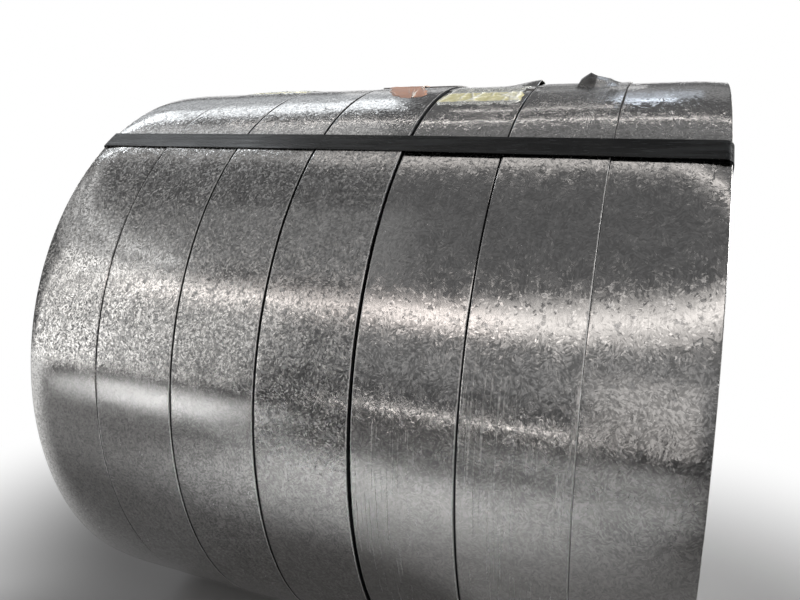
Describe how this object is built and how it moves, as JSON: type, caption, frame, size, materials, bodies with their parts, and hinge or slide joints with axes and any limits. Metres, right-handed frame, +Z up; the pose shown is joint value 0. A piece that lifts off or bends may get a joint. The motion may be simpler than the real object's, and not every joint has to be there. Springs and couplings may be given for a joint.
{
  "type": "slit steel coil pack",
  "caption": "Galvanised steel strip slit into narrow coils, lying side by side on one level axis and bound by flat black straps passed through the bore.",
  "frame": {"origin": "on the floor, under the middle of the pack's width and under the bore axis", "axes": "+X along the bore axis to the right end as seen from the front, -Y towards the front, +Z up"},
  "size_m": [0.8913, 0.9152, 0.9253],
  "materials": {
    "galvanised_strip": "spangled hot-dip galvanised strip, half gloss",
    "black_strapping": "black painted and waxed steel strapping",
    "strap_seal": "black painted sheet seal, crimped",
    "yellow_tape": "pale yellow creased film tape",
    "tan_tape": "tan crepe paper tape"
  },
  "bodies": {
    "root": {"slit_coil_1": "galvanised_strip", "slit_coil_2": "galvanised_strip", "slit_coil_3": "galvanised_strip", "slit_coil_4": "galvanised_strip", "slit_coil_5": "galvanised_strip", "slit_coil_6": "galvanised_strip", "slit_coil_7": "galvanised_strip", "strap_1": "black_strapping", "strap_2": "black_strapping", "strap_3": "black_strapping", "strap_seal_1": "strap_seal", "strap_seal_2": "strap_seal", "strap_seal_3": "strap_seal", "tail_tape_2": "yellow_tape", "tail_tape_4": "tan_tape", "tail_tape_5": "yellow_tape"}
  },
  "joints": []
}
